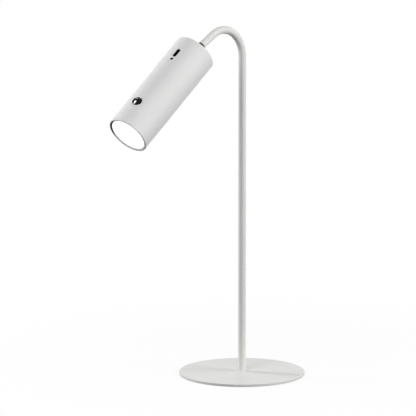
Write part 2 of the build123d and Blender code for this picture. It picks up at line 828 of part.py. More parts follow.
plunger_bottom = switch_top - plunger_sunk
with BuildPart() as switch_plunger:
    with BuildSketch(under_button(button_station, plunger_bottom)):
        Circle(plunger_radius)
    extrude(amount=plunger_top - plunger_bottom)
switch_plunger.part.label = "switch_plunger"
export_step(switch_plunger.part, "parts/switch_plunger.step")

with BuildPart() as switch_body:
    with BuildSketch(under_button(button_station, board_top)):
        Rectangle(switch_size, switch_size)
    extrude(amount=switch_height)
    with BuildSketch(under_button(button_station, switch_top)):
        Circle(plunger_radius + running_clearance)
    extrude(amount=-(plunger_sunk + button_travel + plunger_room), mode=Mode.SUBTRACT)
switch_body.part.label = "switch_body"
export_step(switch_body.part, "parts/switch_body.step")

# Indicator: a dark light pipe over the small lamp on the board
lens_bottom = board_top + indicator_led_height + indicator_gap
lens_flange_top = math.sqrt(shell_bore**2 - indicator_flange_radius**2) - press_clearance
with BuildPart() as indicator_lens:
    with BuildSketch(under_button(indicator_station, lens_bottom)):
        Circle(indicator_radius)
    extrude(amount=head_radius - lens_bottom)
    with BuildSketch(under_button(indicator_station, lens_flange_top)):
        Circle(indicator_flange_radius)
    extrude(amount=-indicator_flange)
indicator_lens.part.label = "indicator_lens"
export_step(indicator_lens.part, "parts/indicator_lens.step")

# Charging socket: a sheet-metal shell that stands on the board, a block with the contact tongue, and a
# black collar pressed into the housing's slot
socket_mouth = shell_bore - socket_mouth_gap
mouth_length = socket_length - 2 * socket_sheet
mouth_width = socket_width - 2 * socket_sheet
with BuildPart() as socket_shell:
    with BuildSketch(under_button(socket_station, board_top)):
        SlotOverall(socket_length, socket_width)
        SlotOverall(mouth_length, mouth_width, mode=Mode.SUBTRACT)
    extrude(amount=socket_mouth - board_top)
socket_shell.part.label = "socket_shell"
export_step(socket_shell.part, "parts/socket_shell.step")

with BuildPart() as socket_collar:
    with BuildSketch(under_button(socket_station, shell_bore)):
        SlotOverall(slot_length - 2 * press_clearance, slot_width - 2 * press_clearance)
        SlotOverall(mouth_length, mouth_width, mode=Mode.SUBTRACT)
    extrude(amount=shell_wall - collar_sunk)
socket_collar.part.label = "socket_collar"
export_step(socket_collar.part, "parts/socket_collar.step")

block_length = mouth_length - 2 * press_clearance
block_width = mouth_width - 2 * press_clearance
with BuildPart() as socket_tongue:
    with BuildSketch(under_button(socket_station, board_top)):
        SlotOverall(block_length, block_width)
    extrude(amount=socket_floor)
    with BuildSketch(under_button(socket_station, board_top + socket_floor)):
        Rectangle(socket_tongue_length, socket_tongue_width)
    extrude(amount=socket_mouth - socket_tongue_inset - board_top - socket_floor)
socket_tongue.part.label = "socket_tongue"
export_step(socket_tongue.part, "parts/socket_tongue.step")


def shown(vector):
    return tuple(round(value, 4) for value in (vector.X, vector.Y, vector.Z))


print("tube end", shown(tube_end), "outward", shown(outward))
print("tilt pin", shown(pin_centre), "way", shown(pin_way))
print("head way", shown(head_way), "button way", shown(button_way))
print("front centre", shown(front_centre), "button", shown(front_centre + rearward * button_station))
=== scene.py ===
import json
import math

import bmesh
import bpy
import numpy as np
from mathutils import Matrix


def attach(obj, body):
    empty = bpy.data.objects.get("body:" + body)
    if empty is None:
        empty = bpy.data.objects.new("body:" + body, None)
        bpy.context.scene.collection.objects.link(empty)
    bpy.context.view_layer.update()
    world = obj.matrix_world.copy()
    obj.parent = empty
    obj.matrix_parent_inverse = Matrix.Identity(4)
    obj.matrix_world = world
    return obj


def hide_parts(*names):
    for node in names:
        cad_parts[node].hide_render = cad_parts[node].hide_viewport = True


# Rechargeable desk lamp on a thin round base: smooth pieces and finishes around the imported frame.
# Lengths in the dictionaries are millimetres and angles degrees. The mesh itself is in metres.
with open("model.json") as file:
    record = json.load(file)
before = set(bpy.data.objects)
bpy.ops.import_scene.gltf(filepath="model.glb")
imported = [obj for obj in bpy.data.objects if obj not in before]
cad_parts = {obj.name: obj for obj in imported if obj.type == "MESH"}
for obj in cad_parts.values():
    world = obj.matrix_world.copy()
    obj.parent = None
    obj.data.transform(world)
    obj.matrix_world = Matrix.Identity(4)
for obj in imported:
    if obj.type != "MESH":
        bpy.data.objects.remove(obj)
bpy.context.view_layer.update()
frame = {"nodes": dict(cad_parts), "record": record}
cadNodes = frame["nodes"]
joints = {joint["name"]: joint for joint in frame["record"]["behaviour"]["joints"]}
mm = 0.001
supportStep = 0.04  # distance of the row that keeps a flat face flat beside a rounded edge
slack = 1e-6  # allowance in comparisons and divisions
# Roundings of edges that need no size of their own
roundings = {"fine": 0.05, "small": 0.1, "medium": 0.15, "large": 0.2}
# Points closer than the merge distances become one, in own pieces and in copies of CAD nodes
smoothing = {
    "merge": 0.001,
    "nodeMerge": 0.002,
    "flatAngle": 0.5,
    "creaseAngle": 35,
    "bevelAngle": 40,
    "bevelSegments": 3,
}
print("frame loaded", len(cadNodes), "nodes")


def unit(vector):
    vector = np.asarray(vector, float)
    return vector / np.linalg.norm(vector)


# The joints give the tilt pin, the tube's end and the button's way, and these give the head's axes
tubeEnd = np.array(joints["head_swivel"]["pos_m"])
outward = unit(joints["head_swivel"]["axis"])
pinCentre = np.array(joints["head_tilt"]["pos_m"])
pinWay = unit(joints["head_tilt"]["axis"])
buttonWay = -unit(joints["power_button"]["axis"])
headWay = np.cross(pinWay, buttonWay)
rearward = -headWay

head = {
    "radius": 22.0,
    "wall": 1.5,
    "length": 120.0,
    "pinBehind": 6.6,
    "seatRadius": 21.05,
    "seatDepth": 0.8,
    "seatRounding": 0.04,
    "frontRounding": 0.85,
    "firstRow": 1.0,
    "rearRounding": 0.9,
    "columns": 240,
    "plainRow": 3.0,
    "patchRow": 0.6,
    "holeRounding": 0.22,
    "collarRows": 7,
    "collarArcRows": 5,
    "arcSteps": 8,
}
frontCentre = pinCentre + headWay * (head["pinBehind"] + head["length"]) * mm


# A set of axes: a piece's own length, then two directions square to it
def axesAt(origin, along, up):
    return {"origin": origin, "along": along, "up": up, "side": np.cross(along, up)}


headAxes = axesAt(frontCentre, rearward, buttonWay)
baseAxes = axesAt(np.zeros(3), np.array((0.0, 0.0, 1.0)), np.array((1.0, 0.0, 0.0)))
neckAxes = axesAt(tubeEnd, outward, np.cross(outward, pinWay))


# Point = origin + along * a + up * u + side * s, for arrays of millimetres
def placed(axes, along, up, side):
    shift = along[..., None] * axes["along"] + up[..., None] * axes["up"]
    return axes["origin"] + (shift + side[..., None] * axes["side"]) * mm


# Corners are (station, radius, rounding). A rounding becomes an arc that is tangent to both sides,
# with a supporting row just outside each end of it
def roundedOutline(corners, closed=True, arcSteps=6):
    points = np.array([corner[:2] for corner in corners], float)
    outline = []
    last = len(corners) - 1
    for index, (point, corner) in enumerate(zip(points, corners)):
        rounding = corner[2]
        if rounding == 0 or (not closed and index in (0, last)):
            outline.append(point[None])
            continue
        before = unit(points[index - 1] - point)
        after = unit(points[(index + 1) % len(points)] - point)
        half = math.acos(np.clip(before @ after, -1, 1)) / 2
        reach = rounding / math.tan(half)
        centre = point + unit(before + after) * rounding / math.sin(half)
        first = unit(point + before * reach - centre)
        final = unit(point + after * reach - centre)
        turn = math.acos(np.clip(first @ final, -1, 1))
        share = np.linspace(0, 1, arcSteps + 1)[:, None]
        arc = (np.sin((1 - share) * turn) * first + np.sin(share * turn) * final) / math.sin(turn)
        outline.append((point + before * (reach + supportStep))[None])
        outline.append(centre + arc * rounding)
        outline.append((point + after * (reach + supportStep))[None])
    return np.vstack(outline)


# Quads between neighbouring points of a grid, which may close on itself either way
def gridFaces(rows, columns, wrapRows, wrapColumns):
    index = np.arange(rows * columns).reshape(rows, columns)
    quads = np.stack(
        (index, np.roll(index, -1, 0), np.roll(np.roll(index, -1, 0), -1, 1), np.roll(index, -1, 1)), -1
    )
    quads = quads if wrapRows else quads[:-1]
    quads = quads if wrapColumns else quads[:, :-1]
    return quads.reshape(-1, 4)


# New object in the scene, for a mesh, a lamp or the camera
def linked(name, data):
    thing = bpy.data.objects.new(name, data)
    bpy.context.scene.collection.objects.link(thing)
    return thing


# Makes one object of points and quads: merges the seams, turns the faces outwards and marks creases
def pieceFrom(name, points, faces):
    mesh = bpy.data.meshes.new(name)
    mesh.from_pydata(points.reshape(-1, 3).tolist(), [], faces.tolist())
    shaped = bmesh.new()
    shaped.from_mesh(mesh)
    bmesh.ops.remove_doubles(shaped, verts=shaped.verts, dist=smoothing["merge"] * mm)
    if shaped.calc_volume(signed=True) < 0:
        bmesh.ops.reverse_faces(shaped, faces=shaped.faces)
    shaped.to_mesh(mesh)
    shaped.free()
    mesh.shade_smooth()
    mesh.set_sharp_from_angle(angle=math.radians(smoothing["creaseAngle"]))
    return linked(name, mesh)


# Turned piece: each point of the outline goes round the axis, radius * (up cos t + side sin t)
def turnedGrid(axes, outline, steps):
    turn = np.linspace(0, 2 * math.pi, steps, endpoint=False)
    station = np.repeat(outline[:, :1], steps, 1)
    return placed(axes, station, outline[:, 1:] * np.cos(turn), outline[:, 1:] * np.sin(turn))


def turned(name, axes, corners, steps, arcSteps=6, closed=True):
    grid = turnedGrid(axes, roundedOutline(corners, closed, arcSteps), steps)
    return pieceFrom(name, grid, gridFaces(grid.shape[0], steps, closed, True))


# A finished piece takes the finish of its slot and rides on its body, and the CAD node that it stands
# for is hidden
def fit(piece, body, node, slot):
    piece.data.materials.clear()
    piece.data.materials.append(paints[slot])
    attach(piece, body)
    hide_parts(node)


# Copy of a CAD node with its edges softened by a narrow bevel
def softened(name, node, width):
    mesh = cadNodes[node].data.copy()
    mesh.name = name
    reach, flat = smoothing["nodeMerge"] * mm, math.radians(smoothing["flatAngle"])
    shaped = bmesh.new()
    shaped.from_mesh(mesh)
    bmesh.ops.remove_doubles(shaped, verts=shaped.verts, dist=reach)
    bmesh.ops.dissolve_degenerate(shaped, edges=shaped.edges, dist=reach)
    bmesh.ops.dissolve_limit(shaped, verts=shaped.verts, edges=shaped.edges, angle_limit=flat)
    shaped.to_mesh(mesh)
    shaped.free()
    if mesh.attributes.get("custom_normal"):
        mesh.attributes.remove(mesh.attributes["custom_normal"])
    mesh.shade_smooth()
    piece = linked(name, mesh)
    bevel = piece.modifiers.new("softEdges", "BEVEL")
    bevel.width = width * mm
    bevel.segments = smoothing["bevelSegments"]
    bevel.limit_method = "ANGLE"
    bevel.angle_limit = math.radians(smoothing["bevelAngle"])
    bevel.harden_normals = True
    return piece


# Shader groups, each built once and used by many finishes
textures = {
    "fineDetail": 3,
    "wideDetail": 1,
    "wideScale": 0.22,
    "driftDetail": 4,
    "lineDetail": 2,
    "middle": 0.5,
}


# New group, with the outputs of its entry and the inputs of its exit
def startGroup(name, inputs, outputs):
    group = bpy.data.node_groups.new(name, "ShaderNodeTree")
    for label, kind, value in inputs:
        socket = group.interface.new_socket(label, in_out="INPUT", socket_type=kind)
        socket.default_value = value
    for label, kind in outputs:
        group.interface.new_socket(label, in_out="OUTPUT", socket_type=kind)
    return group, group.nodes.new("NodeGroupInput").outputs, group.nodes.new("NodeGroupOutput").inputs


# New node with its settings
def addNode(tree, kind, **settings):
    node = tree.nodes.new(kind)
    for name, value in settings.items():
        setattr(node, name, value)
    return node


# A socket takes a plain value, or a link from another node's output
def feed(tree, socket, value):
    if hasattr(value, "is_output"):
        tree.links.new(value, socket)
    else:
        socket.default_value = value


# Sum, product or other operation on two values
def addMath(tree, operation, first, second):
    node = addNode(tree, "ShaderNodeMath", operation=operation)
    feed(tree, node.inputs[0], first)
    feed(tree, node.inputs[1], second)
    return node.outputs[0]


# Soft noise at a position
def addNoise(tree, vector, scale, detail):
    noise = addNode(tree, "ShaderNodeTexNoise")
    for name, value in (("Vector", vector), ("Scale", scale), ("Detail", detail)):
        feed(tree, noise.inputs[name], value)
    return noise.outputs["Fac"]


# A group placed in a material, with its own values
def placeGroup(tree, group, values):
    node = addNode(tree, "ShaderNodeGroup", node_tree=group)
    for name, value in values.items():
        feed(tree, node.inputs[name], value)
    return node.outputs


# Spread of tiny bumps with a wider, flatter swell under them, as on sprayed or moulded surfaces
def makeGrainGroup():
    group, entry, result = startGroup(
        "surfaceGrain",
        [("Position", "NodeSocketVector", (0, 0, 0)), ("Scale", "NodeSocketFloat", 1500.0),
         ("Swell", "NodeSocketFloat", 0.4)],
        [("Height", "NodeSocketFloat"), ("Mask", "NodeSocketFloat")],
    )
    fine = addNoise(group, entry["Position"], entry["Scale"], textures["fineDetail"])
    wideScale = addMath(group, "MULTIPLY", entry["Scale"], textures["wideScale"])
    wide = addNoise(group, entry["Position"], wideScale, textures["wideDetail"])
    swell = addMath(group, "MULTIPLY", wide, entry["Swell"])
    group.links.new(addMath(group, "ADD", fine, swell), result["Height"])
    group.links.new(fine, result["Mask"])
    return group


# Slow drift of a colour's lightness over a surface
def makeDriftGroup():
    group, entry, result = startGroup(
        "toneDrift",
        [("Position", "NodeSocketVector", (0, 0, 0)), ("Colour", "NodeSocketColor", (0.8, 0.8, 0.8, 1)),
         ("Scale", "NodeSocketFloat", 20.0), ("Amount", "NodeSocketFloat", 0.03)],
        [("Colour", "NodeSocketColor")],
    )
    cloud = addNoise(group, entry["Position"], entry["Scale"], textures["driftDetail"])
    centred = addMath(group, "SUBTRACT", cloud, textures["middle"])
    change = addMath(group, "MULTIPLY", centred, entry["Amount"])
    scaled = addNode(group, "ShaderNodeVectorMath", operation="SCALE")
    group.links.new(entry["Colour"], scaled.inputs[0])
    group.links.new(addMath(group, "ADD", change, 1.0), scaled.inputs["Scale"])
    group.links.new(scaled.outputs[0], result["Colour"])
    return group


# Fine lines along one axis, for drawn, brushed and turned metal
def makeLineGroup():
    group, entry, result = startGroup(
        "drawnLines",
        [("Position", "NodeSocketVector", (0, 0, 0)), ("Stretch", "NodeSocketVector", (40, 4000, 4000))],
        [("Lines", "NodeSocketFloat")],
    )
    stretched = addNode(group, "ShaderNodeVectorMath", operation="MULTIPLY")
    group.links.new(entry["Position"], stretched.inputs[0])
    group.links.new(entry["Stretch"], stretched.inputs[1])
    group.links.new(addNoise(group, stretched.outputs[0], 1, textures["lineDetail"]), result["Lines"])
    return group


grainGroup = makeGrainGroup()
driftGroup = makeDriftGroup()
lineGroup = makeLineGroup()


# A finish: drifting colour, roughness that follows the grain, and the grain as bump. A stretch gives
# drawn lines in place of the grain
def finish(name, colour, roughness, grain=1500, depth=0.004, drift=0.03, spread=0.08, metallic=0.0,
           specular=0.5, stretch=None):
    material = bpy.data.materials.new(name)
    material.use_nodes = True
    tree = material.node_tree
    shader = tree.nodes["Principled BSDF"]
    position = addNode(tree, "ShaderNodeTexCoord").outputs["Object"]
    if stretch:
        height = mask = placeGroup(tree, lineGroup, {"Position": position, "Stretch": stretch})["Lines"]
    else:
        texture = placeGroup(tree, grainGroup, {"Position": position, "Scale": grain})
        height, mask = texture["Height"], texture["Mask"]
    toned = placeGroup(tree, driftGroup, {"Position": position, "Colour": (*colour, 1), "Amount": drift})
    tree.links.new(toned["Colour"], shader.inputs["Base Color"])
    bump = addNode(tree, "ShaderNodeBump")
    bump.inputs["Strength"].default_value = 1.0
    bump.inputs["Distance"].default_value = depth * mm
    tree.links.new(height, bump.inputs["Height"])
    tree.links.new(bump.outputs["Normal"], shader.inputs["Normal"])
    centred = addMath(tree, "SUBTRACT", mask, textures["middle"])
    rough = addMath(tree, "ADD", addMath(tree, "MULTIPLY", centred, spread), roughness)
    tree.links.new(rough, shader.inputs["Roughness"])
    shader.inputs["Metallic"].default_value = metallic
    shader.inputs["Specular IOR Level"].default_value = specular
    return material


window = {
    "radius": 19.1,
    "recess": 0.95,
    "thickness": 2.0,
    "edge": 0.15,
    "steps": 160,
    "colour": (0.9, 0.9, 0.89),
    "glow": 1.0,
    "glowColour": (1.0, 0.995, 0.98),
    "rimLoss": 0.05,
    "rimPower": 4.0,
}


# Opal window: milky plastic that glows evenly, a little less towards its rim. The loss is a share of
# the glow times a power of the distance from the middle
def opalFinish():
    material = finish("opalWindow", window["colour"], 0.35, grain=2500, depth=0.003)
    tree = material.node_tree
    shader = tree.nodes["Principled BSDF"]
    away = addNode(tree, "ShaderNodeVectorMath", operation="DISTANCE")
    away.inputs[1].default_value = frontCentre
    tree.links.new(addNode(tree, "ShaderNodeTexCoord").outputs["Object"], away.inputs[0])
    share = addMath(tree, "DIVIDE", away.outputs["Value"], window["radius"] * mm)
    share = addMath(tree, "POWER", share, window["rimPower"])
    loss = addMath(tree, "MULTIPLY", share, window["rimLoss"])
    glow = addNode(tree, "ShaderNodeVectorMath", operation="SCALE")
    glow.inputs[0].default_value = window["glowColour"]
    tree.links.new(addMath(tree, "SUBTRACT", 1.0, loss), glow.inputs["Scale"])
    tree.links.new(glow.outputs[0], shader.inputs["Emission Color"])
    shader.inputs["Emission Strength"].default_value = window["glow"]
    return material


# Sockets of the brick pattern that draws the tracks
tracks = {
    "Scale": 260,
    "Mortar Size": 0.03,
    "Color1": (0.012, 0.12, 0.045, 1),
    "Color2": (0.016, 0.15, 0.055, 1),
    "Mortar": (0.05, 0.27, 0.09, 1),
}


# Circuit board: solder mask with fine copper tracks that shine through it
def boardFinish():
    material = finish("solderMask", (0.01, 0.12, 0.045), 0.3, grain=3000, depth=0.002, drift=0.2)
    tree = material.node_tree
    pattern = addNode(tree, "ShaderNodeTexBrick")
    for name, value in tracks.items():
        pattern.inputs[name].default_value = value
    tree.links.new(addNode(tree, "ShaderNodeTexCoord").outputs["Object"], pattern.inputs["Vector"])
    tree.links.new(pattern.outputs["Color"], tree.nodes["Principled BSDF"].inputs["Base Color"])
    return material


# How far drawn metal's lines are squeezed along each axis
drawn = (3000, 3000, 120)
paints = {
    "white_paint": finish("whitePaint", (0.705, 0.708, 0.688), 0.36, grain=1600, depth=0.003,
                          drift=0.02, specular=0.22),
    "white_housing": finish("whiteHousing", (0.712, 0.72, 0.71), 0.36, grain=1600, depth=0.006,
                            drift=0.02, specular=0.22),
    "white_plastic": finish("whitePlastic", (0.70, 0.70, 0.69), 0.45, grain=2600, depth=0.01),
    "pad_foam": finish("padFoam", (0.03, 0.03, 0.032), 0.85, grain=2200, depth=0.08, drift=0.2),
    "zinc_steel": finish("zincSteel", (0.55, 0.56, 0.58), 0.3, metallic=1, drift=0.08, stretch=drawn),
    "black_metal": finish("blackMetal", (0.012, 0.012, 0.013), 0.35, grain=2600, depth=0.006, drift=0.2),
    "ring_chrome": finish("ringChrome", (0.42, 0.42, 0.43), 0.18, metallic=1, grain=900,
                          depth=0.001, spread=0.03),
    "button_chrome": finish("buttonChrome", (0.014, 0.014, 0.015), 0.06, metallic=1, grain=900,
                            depth=0.001, spread=0.02),
    "opal_window": opalFinish(),
    "reflector_white": finish("reflectorWhite", (0.82, 0.82, 0.80), 0.4, grain=2600, depth=0.006),
    "light_board": finish("lightBoard", (0.75, 0.76, 0.75), 0.4, grain=2800, depth=0.004),
    "light_source": finish("lightSource", (0.85, 0.62, 0.15), 0.3, grain=3000, depth=0.004, drift=0.1),
    "bare_aluminium": finish("bareAluminium", (0.62, 0.63, 0.64), 0.36, metallic=1, stretch=drawn),
    "lead_sleeve": finish("leadSleeve", (0.45, 0.015, 0.01), 0.4, grain=2600, depth=0.01),
    "frame_black": finish("frameBlack", (0.02, 0.02, 0.02), 0.5, grain=1800, depth=0.02, drift=0.2),
    "cell_sleeve": finish("cellSleeve", (0.02, 0.14, 0.34), 0.28, grain=700, depth=0.01, drift=0.1),
    "board_green": boardFinish(),
    "part_black": finish("partBlack", (0.008, 0.008, 0.009), 0.45, grain=2400, depth=0.02, drift=0.2,
                         specular=0.06),
    "lens_black": finish("lensBlack", (0.004, 0.004, 0.0045), 0.08, grain=900, depth=0.001, spread=0.02,
                         specular=0.03),
    "washer_white": finish("washerWhite", (0.7, 0.7, 0.67), 0.5, grain=2400, depth=0.01),
}
for node in cadNodes.values():
    for slot in node.material_slots:
        slot.material = paints[slot.material.name]
print("finishes ready", len(paints))

# Base: a thin round plate with a softened top edge, countersunk below, on a pad that is set in
base = {
    "radius": 65.0,
    "bottom": 0.3,
    "top": 3.0,
    "topRounding": 0.6,
    "bottomRounding": 0.25,
    "hole": 2.1,
    "sink": 4.1,
    "sinkDepth": 2.0,
    "steps": 320,
}
pad = {"radius": 62.0, "top": 0.3, "rounding": 0.1, "dimple": 5.5, "dimpleDepth": 0.15}


def makeBase():
    plate = turned(
        "basePlate",
        baseAxes,
        [
            (base["top"], base["hole"], roundings["medium"]),
            (base["top"], base["radius"], base["topRounding"]),
            (base["bottom"], base["radius"], base["bottomRounding"]),
            (base["bottom"], base["sink"], 0),
            (base["bottom"] + base["sinkDepth"], base["hole"], 0),
        ],
        base["steps"],
    )
    fit(plate, "stand", "base_plate", "white_paint")
    foam = turned(
        "basePad",
        baseAxes,
        [
            (pad["top"], 0, 0),
            (pad["top"], pad["radius"], 0),
            (0, pad["radius"], pad["rounding"]),
            (0, pad["dimple"], pad["rounding"]),
            (pad["dimpleDepth"], pad["dimple"] - pad["dimpleDepth"], roundings["fine"]),
            (pad["dimpleDepth"], 0, 0),
        ],
        base["steps"],
        closed=False,
    )
    fit(foam, "stand", "base_pad", "pad_foam")


# Stem: a hollow tube that runs up, over in one arc and down again to the head
stem = {
    "radius": 4.0,
    "wall": 0.8,
    "foot": 3.0,
    "arcStart": 331.3,
    "arcRadius": 30.0,
    "turn": 119.3,
    "endRun": 17.6,
    "cutRounding": 0.2,
    "arcStep": 0.75,
    "cutArcSteps": 4,
    "steps": 96,
}
stemRise = stem["arcStart"] - stem["foot"]
stemArc = stem["arcRadius"] * math.radians(stem["turn"])


# Centre line of the stem, and the direction across it in the hook's plane, at distances from the foot.
# Up a line, round a circle by distance over radius, and on along the last direction
def stemLine(distance):
    turn = np.clip(distance - stemRise, 0, stemArc) / stem["arcRadius"]
    run = np.clip(distance - stemRise - stemArc, 0, None)
    x = -stem["arcRadius"] * (1 - np.cos(turn)) - run * np.sin(turn)
    lift = stem["foot"] + np.clip(distance, None, stemRise)
    z = lift + stem["arcRadius"] * np.sin(turn) + run * np.cos(turn)
    centre = np.stack((x, np.zeros_like(x), z), -1)
    across = np.stack((np.cos(turn), np.zeros_like(x), np.sin(turn)), -1)
    return centre, across


# Wall of the tube: centre + radius * (across cos t + sideways sin t), with close rows along the arc
def makeStem():
    whole = stemRise + stemArc + stem["endRun"]
    bore = stem["radius"] - stem["wall"]
    bend = np.linspace(stemRise, stemRise + stemArc, int(stemArc / stem["arcStep"]))
    outline = roundedOutline(
        [
            (0, stem["radius"], 0),
            (whole, stem["radius"], stem["cutRounding"]),
            (whole, bore, stem["cutRounding"]),
            (0, bore, 0),
        ],
        arcSteps=stem["cutArcSteps"],
    )
    outer = np.stack((bend, np.full_like(bend, stem["radius"])), -1)
    inner = np.stack((bend[::-1], np.full_like(bend, bore)), -1)
    outline = np.vstack((outline[:1], outer, outline[1:-1], inner, outline[-1:]))
    centre, across = stemLine(outline[:, 0])
    turn = np.linspace(0, 2 * math.pi, stem["steps"], endpoint=False)[None, :, None]
    sideways = np.array((0.0, 1.0, 0.0))
    spoke = across[:, None] * np.cos(turn) + sideways * np.sin(turn)
    grid = (centre[:, None] + outline[:, None, 1:] * spoke) * mm
    tube = pieceFrom("stemTube", grid, gridFaces(len(outline), stem["steps"], True, True))
    fit(tube, "stand", "stem_tube", "white_paint")


# Neck: the bush in the tube's end, the fork that turns in it, the tilt pin and the head's knuckle
neck = {
    "lip": 1.3,
    "lipRadius": 4.15,
    "lipRounding": 0.25,
    "bushDepth": 9.0,
    "bushRadius": 3.15,
    "bushBore": 2.05,
    "bushSteps": 96,
    "pinRadius": 1.19,
    "pinHalf": 3.5,
    "pinRounding": 0.25,
    "pinSteps": 64,
    "edge": 0.18,
}


def makeNeck():
    bush = turned(
        "endBush",
        neckAxes,
        [
            (0, neck["lipRadius"], roundings["fine"]),
            (neck["lip"], neck["lipRadius"], neck["lipRounding"]),
            (neck["lip"], neck["bushBore"], roundings["small"]),
            (-neck["bushDepth"], neck["bushBore"], roundings["small"]),
            (-neck["bushDepth"], neck["bushRadius"], roundings["large"]),
            (0, neck["bushRadius"], 0),
        ],
        neck["bushSteps"],
    )
    fit(bush, "stand", "end_bush", "white_plastic")
    fork = softened("neckFork", "neck_fork", neck["edge"])
    fit(fork, "neck", "neck_fork", "black_metal")
    pin = turned(
        "tiltPin",
        axesAt(pinCentre, pinWay, headWay),
        [
            (-neck["pinHalf"], 0, 0),
            (-neck["pinHalf"], neck["pinRadius"], neck["pinRounding"]),
            (neck["pinHalf"], neck["pinRadius"], neck["pinRounding"]),
            (neck["pinHalf"], 0, 0),
        ],
        neck["pinSteps"],
        closed=False,
    )
    fit(pin, "neck", "tilt_pin", "zinc_steel")
    knuckle = softened("headKnuckle", "head_knuckle", neck["edge"])
    fit(knuckle, "head", "head_knuckle", "black_metal")


# Openings in the housing: each is a straight core of half length, widened by a radius all round
holes = {
    "button": {"station": 28.1, "core": 0.0, "radius": 5.2, "from": 21.4, "to": 34.8, "columns": 12},
    "indicator": {"station": 89.25, "core": 0.0, "radius": 1.55, "from": 86.95, "to": 91.35,
                  "columns": 4},
    "socket": {"station": 97.8, "core": 3.4, "radius": 2.0, "from": 91.35, "to": 104.85, "columns": 6},
}


# Stations of the rows along the housing: wide apart on the plain parts, close where an opening is
def shellStations():
    rear = head["length"] - head["rearRounding"] - supportStep
    breaks = [head["firstRow"]]
    for hole in holes.values():
        breaks += [hole["from"], hole["to"]]
    breaks = sorted(set(breaks + [rear]))
    stations = []
    for first, last in zip(breaks[:-1], breaks[1:]):
        inHole = any(hole["from"] <= first and last <= hole["to"] for hole in holes.values())
        step = head["patchRow"] if inHole else head["plainRow"]
        stations.append(np.linspace(first, last, max(2, round((last - first) / step) + 1))[:-1])
    return np.concatenate(stations + [[rear]])


# Collar of faces from an opening's square of grid lines in to its edge, down through the wall and out
# again on the inside. A point of the edge is the nearest point of the core plus the radius
def holeCollar(hole, stations, angles, middle):
    outerRadius, bore = head["radius"], head["radius"] - head["wall"]
    rows = stations[(stations > hole["from"] - slack) & (stations < hole["to"] + slack)]
    turns = angles[middle - hole["columns"] : middle + hole["columns"] + 1]
    station = np.concatenate(
        (np.full(len(turns) - 1, rows[0]), rows[:-1], np.full(len(turns) - 1, rows[-1]), rows[:0:-1])
    )
    turn = np.concatenate(
        (turns[:-1], np.full(len(rows) - 1, turns[-1]), turns[:0:-1], np.full(len(rows) - 1, turns[0]))
    )
    core = hole["station"] + np.clip(station - hole["station"], -hole["core"], hole["core"])

    def edgeAt(across, widening):
        away = np.stack((station - core, across), -1)
        away = away / np.linalg.norm(away, axis=1, keepdims=True)
        return np.stack((core, np.zeros_like(core)), -1) + away * (hole["radius"] + widening)

    rounding = head["holeRounding"]
    outerRim = np.stack((station, outerRadius * np.sin(turn)), -1)
    innerRim = np.stack((station, bore * np.sin(turn)), -1)
    share = np.linspace(0, 1, head["collarRows"])[:, None, None]
    edge = edgeAt(outerRim[:, 1], 0)
    lead = outerRim + (edgeAt(outerRim[:, 1], rounding) - outerRim) * share
    bend = np.linspace(0, math.pi / 2, head["collarArcRows"])
    arc = np.stack([edgeAt(outerRim[:, 1], rounding * (1 - math.sin(a))) for a in bend[1:]])
    back = edge + (innerRim - edge) * share
    plan = np.concatenate((lead, arc, back))
    sink = np.concatenate((np.zeros(len(lead)), rounding * (1 - np.cos(bend[1:])), np.zeros(len(back))))
    radius = np.concatenate((np.full(len(lead) + len(arc), outerRadius), np.full(len(back), bore)))
    height = np.sqrt(radius[:, None] ** 2 - plan[..., 1] ** 2) - sink[:, None]
    points = placed(headAxes, plan[..., 0], height, plan[..., 1])
    return points, gridFaces(len(plan), len(station), False, True)


# Housing: a closed tube, with a seat for the ring in its rounded front edge. The grid leaves out a
# square at each opening, filled by its collar
def makeShell():
    radius, bore = head["radius"], head["radius"] - head["wall"]
    stations = shellStations()
    rear = roundedOutline(
        [
            (head["firstRow"], radius, 0),
            (head["length"], radius, head["rearRounding"]),
            (head["length"], bore, 0),
        ],
        closed=False,
        arcSteps=head["arcSteps"],
    )[1:]
    front = roundedOutline(
        [
            (head["seatDepth"], bore, 0),
            (head["seatDepth"], head["seatRadius"], 0),
            (0, head["seatRadius"], head["seatRounding"]),
            (0, radius, head["frontRounding"]),
            (head["firstRow"], radius, 0),
        ],
        closed=False,
        arcSteps=head["arcSteps"],
    )[:-1]
    outline = np.vstack(
        (
            np.stack((stations[:-1], np.full(len(stations) - 1, radius)), -1),
            rear,
            np.stack((stations[::-1], np.full(len(stations), bore)), -1),
            front,
        )
    )
    columns = head["columns"]
    angles = np.linspace(-math.pi, math.pi, columns, endpoint=False)
    middle = columns // 2
    station = np.repeat(outline[:, :1], columns, 1)
    grid = placed(headAxes, station, outline[:, 1:] * np.cos(angles), outline[:, 1:] * np.sin(angles))
    faces = gridFaces(len(outline), columns, True, True).reshape(len(outline), columns, 4)
    keep = np.ones(faces.shape[:2], bool)
    row = outline[:, 0]
    following = np.roll(row, -1)
    low, high = np.minimum(row, following), np.maximum(row, following)
    straight = outline[:, 1] == np.roll(outline[:, 1], -1)
    for hole in holes.values():
        inside = straight & (low > hole["from"] - slack) & (high < hole["to"] + slack)
        keep[np.ix_(inside, np.arange(middle - hole["columns"], middle + hole["columns"]))] = False
    points = [grid.reshape(-1, 3)]
    quads = [faces[keep]]
    count = len(points[0])
    for hole in holes.values():
        collar, collarFaces = holeCollar(hole, stations, angles, middle)
        points.append(collar.reshape(-1, 3))
        quads.append(collarFaces + count)
        count += len(points[-1])
    shell = pieceFrom("headShell", np.vstack(points), np.vstack(quads))
    fit(shell, "head", "head_shell", "white_housing")


